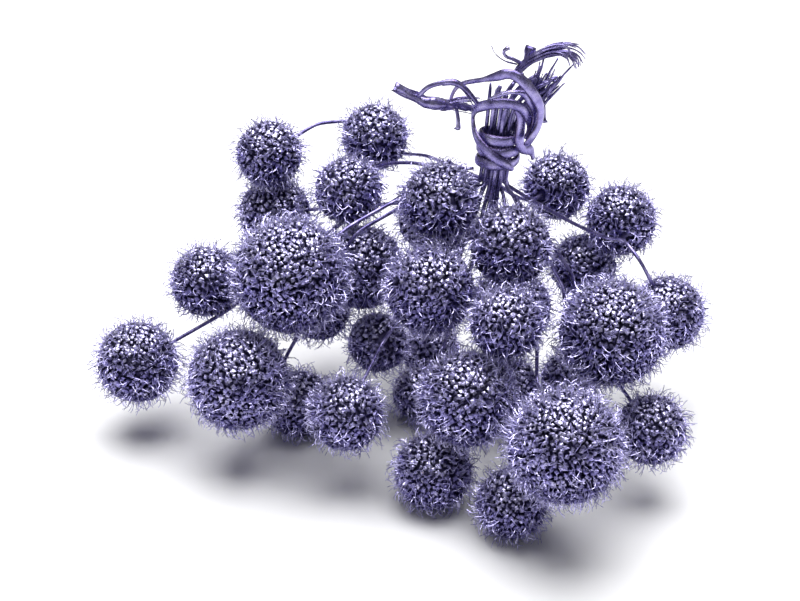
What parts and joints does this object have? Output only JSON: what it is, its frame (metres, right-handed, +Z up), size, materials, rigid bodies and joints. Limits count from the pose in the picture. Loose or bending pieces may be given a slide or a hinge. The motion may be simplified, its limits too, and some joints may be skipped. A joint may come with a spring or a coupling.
{
  "type": "tied bunch of plane tree seed balls",
  "caption": "Tied bunch of dried plane tree seed balls on stalks, painted pearly violet, that stands on its lowest balls as a decoration.",
  "frame": {"origin": "on the floor, under the middle of the bunch's box", "axes": "+Z up, +X along the bunch's longest run, from the far left ball to the far right ball, and -Y towards the viewer of the picture"},
  "size_m": [0.193, 0.1432, 0.1272],
  "materials": {
    "seed_ball_paint": "satin pearl paint over dry seeds",
    "stalk_paint": "satin pearl paint over dry stalks",
    "bark_paint": "satin pearl paint over strips of bark"
  },
  "bodies": {
    "root": {"bark_strip_loop": "bark_paint", "bark_strip_outer_loop": "bark_paint", "bark_strip_top_loop": "bark_paint", "bark_strip_tucked_end": "bark_paint", "bark_strip_winding": "bark_paint", "broken_stalk_ends": "stalk_paint", "curled_stalk_end": "stalk_paint", "frayed_fibres": "stalk_paint", "seed_ball_01": "seed_ball_paint", "seed_ball_02": "seed_ball_paint", "seed_ball_03": "seed_ball_paint", "seed_ball_04": "seed_ball_paint", "seed_ball_05": "seed_ball_paint", "seed_ball_06": "seed_ball_paint", "seed_ball_07": "seed_ball_paint", "seed_ball_08": "seed_ball_paint", "seed_ball_09": "seed_ball_paint", "seed_ball_10": "seed_ball_paint", "seed_ball_11": "seed_ball_paint", "seed_ball_12": "seed_ball_paint", "seed_ball_13": "seed_ball_paint", "seed_ball_14": "seed_ball_paint", "seed_ball_15": "seed_ball_paint", "seed_ball_16": "seed_ball_paint", "seed_ball_17": "seed_ball_paint", "seed_ball_18": "seed_ball_paint", "seed_ball_19": "seed_ball_paint", "seed_ball_20": "seed_ball_paint", "seed_ball_21": "seed_ball_paint", "seed_ball_22": "seed_ball_paint", "seed_ball_23": "seed_ball_paint", "seed_ball_24": "seed_ball_paint", "seed_ball_25": "seed_ball_paint", "seed_ball_26": "seed_ball_paint", "seed_ball_27": "seed_ball_paint", "seed_ball_28": "seed_ball_paint", "seed_ball_29": "seed_ball_paint", "seed_ball_30": "seed_ball_paint", "seed_ball_31": "seed_ball_paint", "seed_ball_32": "seed_ball_paint", "seed_ball_33": "seed_ball_paint", "stalk_01": "stalk_paint", "stalk_02": "stalk_paint", "stalk_03": "stalk_paint", "stalk_04": "stalk_paint", "stalk_05": "stalk_paint", "stalk_06": "stalk_paint", "stalk_07": "stalk_paint", "stalk_08": "stalk_paint", "stalk_09": "stalk_paint", "stalk_10": "stalk_paint", "stalk_11": "stalk_paint", "stalk_12": "stalk_paint", "stalk_13": "stalk_paint", "stalk_14": "stalk_paint", "stalk_15": "stalk_paint", "stalk_16": "stalk_paint", "stalk_17": "stalk_paint", "stalk_18": "stalk_paint", "woody_twig": "stalk_paint"}
  },
  "joints": []
}
